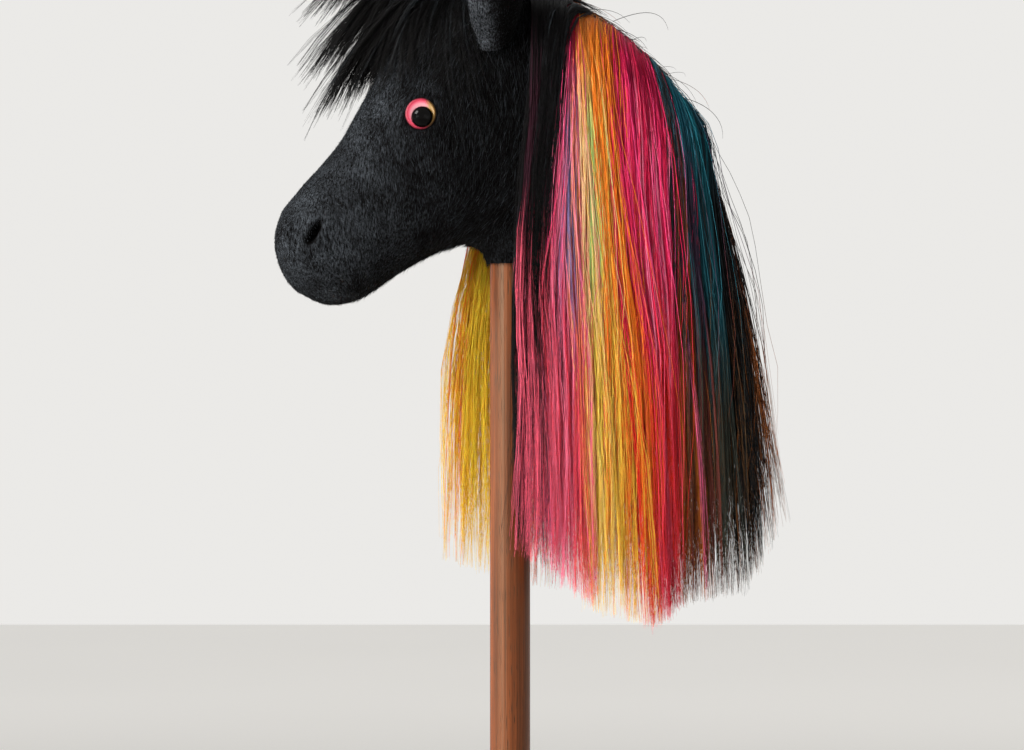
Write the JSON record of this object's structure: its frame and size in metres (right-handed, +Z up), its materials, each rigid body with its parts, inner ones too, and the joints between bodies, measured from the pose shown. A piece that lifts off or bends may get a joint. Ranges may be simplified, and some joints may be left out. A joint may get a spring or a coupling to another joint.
{
  "type": "hobby horse",
  "caption": "Stuffed black felt horse head with button eyes, ears, a black forelock and a long mane of dyed hair, pegged on a round stained wooden stick.",
  "frame": {"origin": "centre of the stick's flat foot", "axes": "+Z up along the stick, -X the way the horse looks, -Y the horse's left (near) side, +Y its right (far) side"},
  "size_m": [0.3183, 0.12, 0.9417],
  "materials": {
    "felt": "matte",
    "stuffing": "matte",
    "wood": "satin",
    "peg_wood": "matte",
    "foam": "matte",
    "lining": "matte",
    "iris": "satin",
    "pupil": "gloss",
    "lock_plastic": "matte",
    "thread": "matte",
    "tape": "matte",
    "black_hair": "satin",
    "pink_hair": "satin",
    "orange_hair": "satin",
    "magenta_hair": "satin",
    "teal_hair": "satin",
    "yellow_hair": "satin"
  },
  "bodies": {
    "horse": {"stick": "wood", "head_peg": "peg_wood", "stick_pad": "foam", "head_stuffing": "stuffing", "near_side_cover": "felt", "far_side_cover": "felt", "neck_drawcord": "thread", "nostril_thread": "thread", "near_eye_washer": "iris", "near_eye_button": "pupil", "near_eye_lock": "lock_plastic", "far_eye_washer": "iris", "far_eye_button": "pupil", "far_eye_lock": "lock_plastic", "near_ear_back": "felt", "near_ear_lining": "lining", "far_ear_back": "felt", "far_ear_lining": "lining", "mane_tape": "tape", "forelock_tape": "tape"},
    "near_mane_front": {"near_tress_black_front": "black_hair", "near_tress_pink": "pink_hair", "near_tress_orange": "orange_hair"},
    "near_mane_back": {"near_tress_magenta": "magenta_hair", "near_tress_teal": "teal_hair", "near_tress_black_back": "black_hair"},
    "far_mane_front": {"far_tress_yellow": "yellow_hair", "far_tress_orange": "orange_hair"},
    "far_mane_back": {"far_tress_crimson": "magenta_hair", "far_tress_black": "black_hair"},
    "forelock": {"forelock_under": "black_hair", "forelock_middle": "black_hair", "forelock_over": "black_hair"},
    "near_forelock": {"forelock_near": "black_hair"},
    "far_forelock": {"forelock_far": "black_hair"}
  },
  "joints": [
    {"name": "near_mane_front_swing", "type": "hinge", "parent": "horse", "child": "near_mane_front", "pos_m": [0.04417, -0.00655, 0.88272], "axis": [-0.8707, 0, 0.4918], "range_deg": [0, 50]},
    {"name": "near_mane_back_swing", "type": "hinge", "parent": "horse", "child": "near_mane_back", "pos_m": [0.09602, -0.00657, 0.83659], "axis": [-0.6094, 0, 0.7929], "range_deg": [0, 50]},
    {"name": "far_mane_front_swing", "type": "hinge", "parent": "horse", "child": "far_mane_front", "pos_m": [0.04137, 0.00648, 0.88539], "axis": [0.8795, 0, -0.476], "range_deg": [0, 50]},
    {"name": "far_mane_back_swing", "type": "hinge", "parent": "horse", "child": "far_mane_back", "pos_m": [0.09048, 0.00652, 0.8405], "axis": [0.6445, 0, -0.7646], "range_deg": [0, 50]},
    {"name": "forelock_lift", "type": "hinge", "parent": "horse", "child": "forelock", "pos_m": [0, 0, 0.919], "axis": [0, 1, 0], "range_deg": [0, 50]},
    {"name": "near_forelock_swing", "type": "hinge", "parent": "horse", "child": "near_forelock", "pos_m": [-0.03892, -0.013, 0.89576], "axis": [-0.9487, 0, -0.3162], "range_deg": [0, 45]},
    {"name": "far_forelock_swing", "type": "hinge", "parent": "horse", "child": "far_forelock", "pos_m": [-0.03892, 0.013, 0.89576], "axis": [0.9487, 0, 0.3162], "range_deg": [0, 45]}
  ]
}
